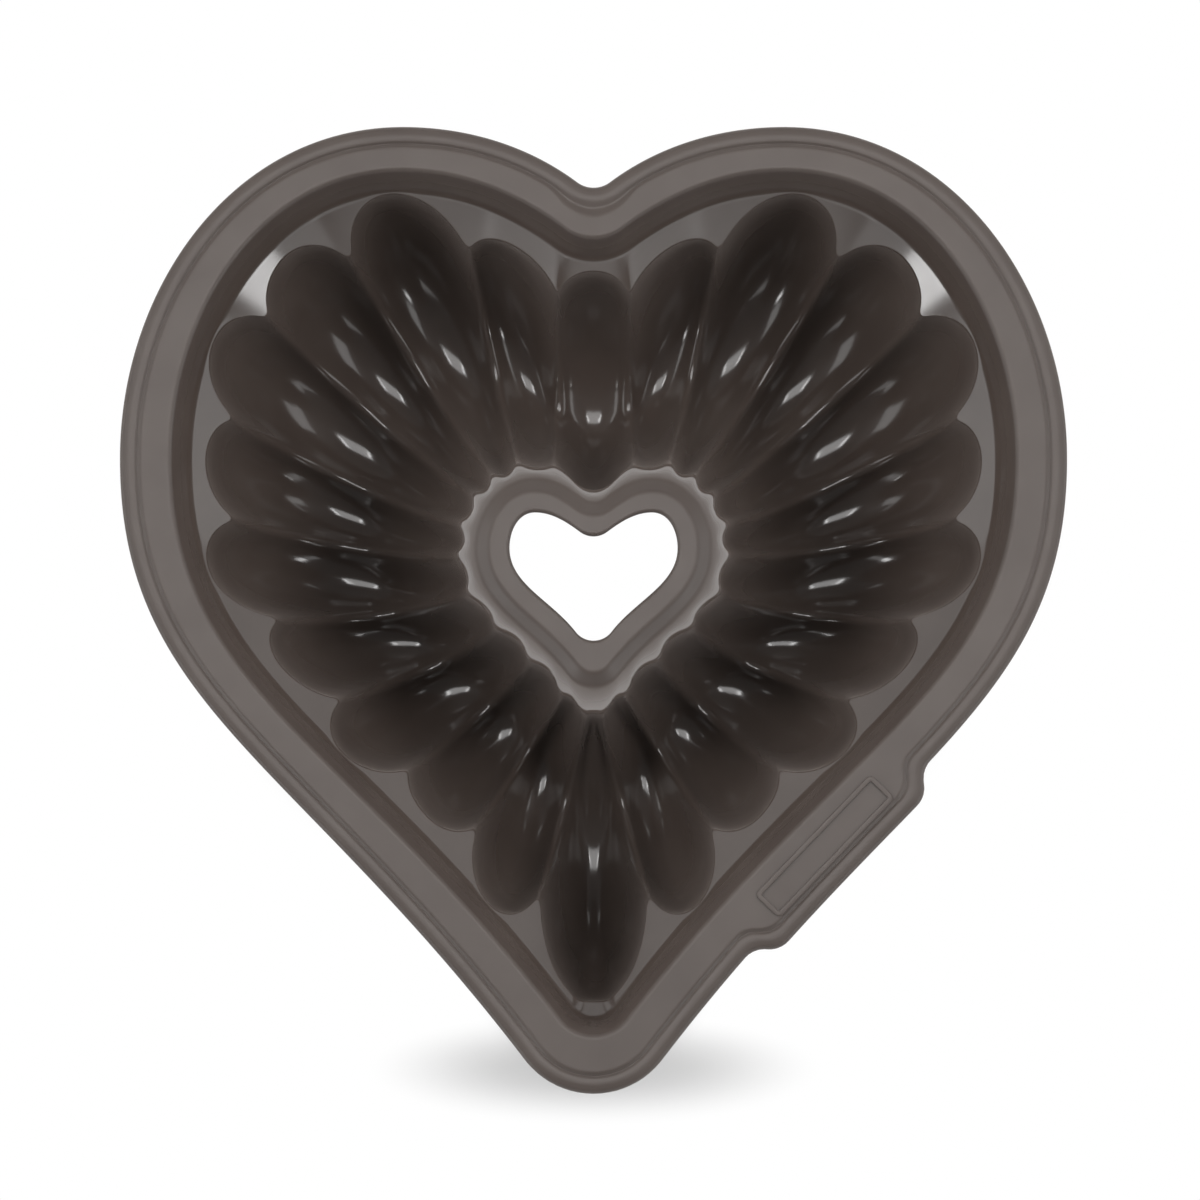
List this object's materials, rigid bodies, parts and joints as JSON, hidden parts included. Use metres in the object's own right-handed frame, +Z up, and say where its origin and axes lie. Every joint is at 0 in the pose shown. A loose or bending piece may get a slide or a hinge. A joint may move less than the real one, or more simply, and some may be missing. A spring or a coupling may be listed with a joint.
{
  "type": "heart-shaped cake pan",
  "caption": "Heart-shaped fluted cake mould in dark silicone with a scalloped centre tube, flat flange and wire-stiffened rim bead; it bakes a ring cake.",
  "frame": {"origin": "middle of the bounding box in plan, on the surface that the flute bottoms stand on", "axes": "+Z up out of the mouth, +Y from the heart's tip towards its cleft, +X to the right of a viewer who looks into the mouth with the tip towards them"},
  "size_m": [0.25, 0.255, 0.065],
  "materials": {
    "silicone": "satin",
    "hoop_steel": "drawn wire"
  },
  "bodies": {
    "root": {"silicone_mould": "silicone", "rim_hoop": "hoop_steel"}
  },
  "joints": []
}
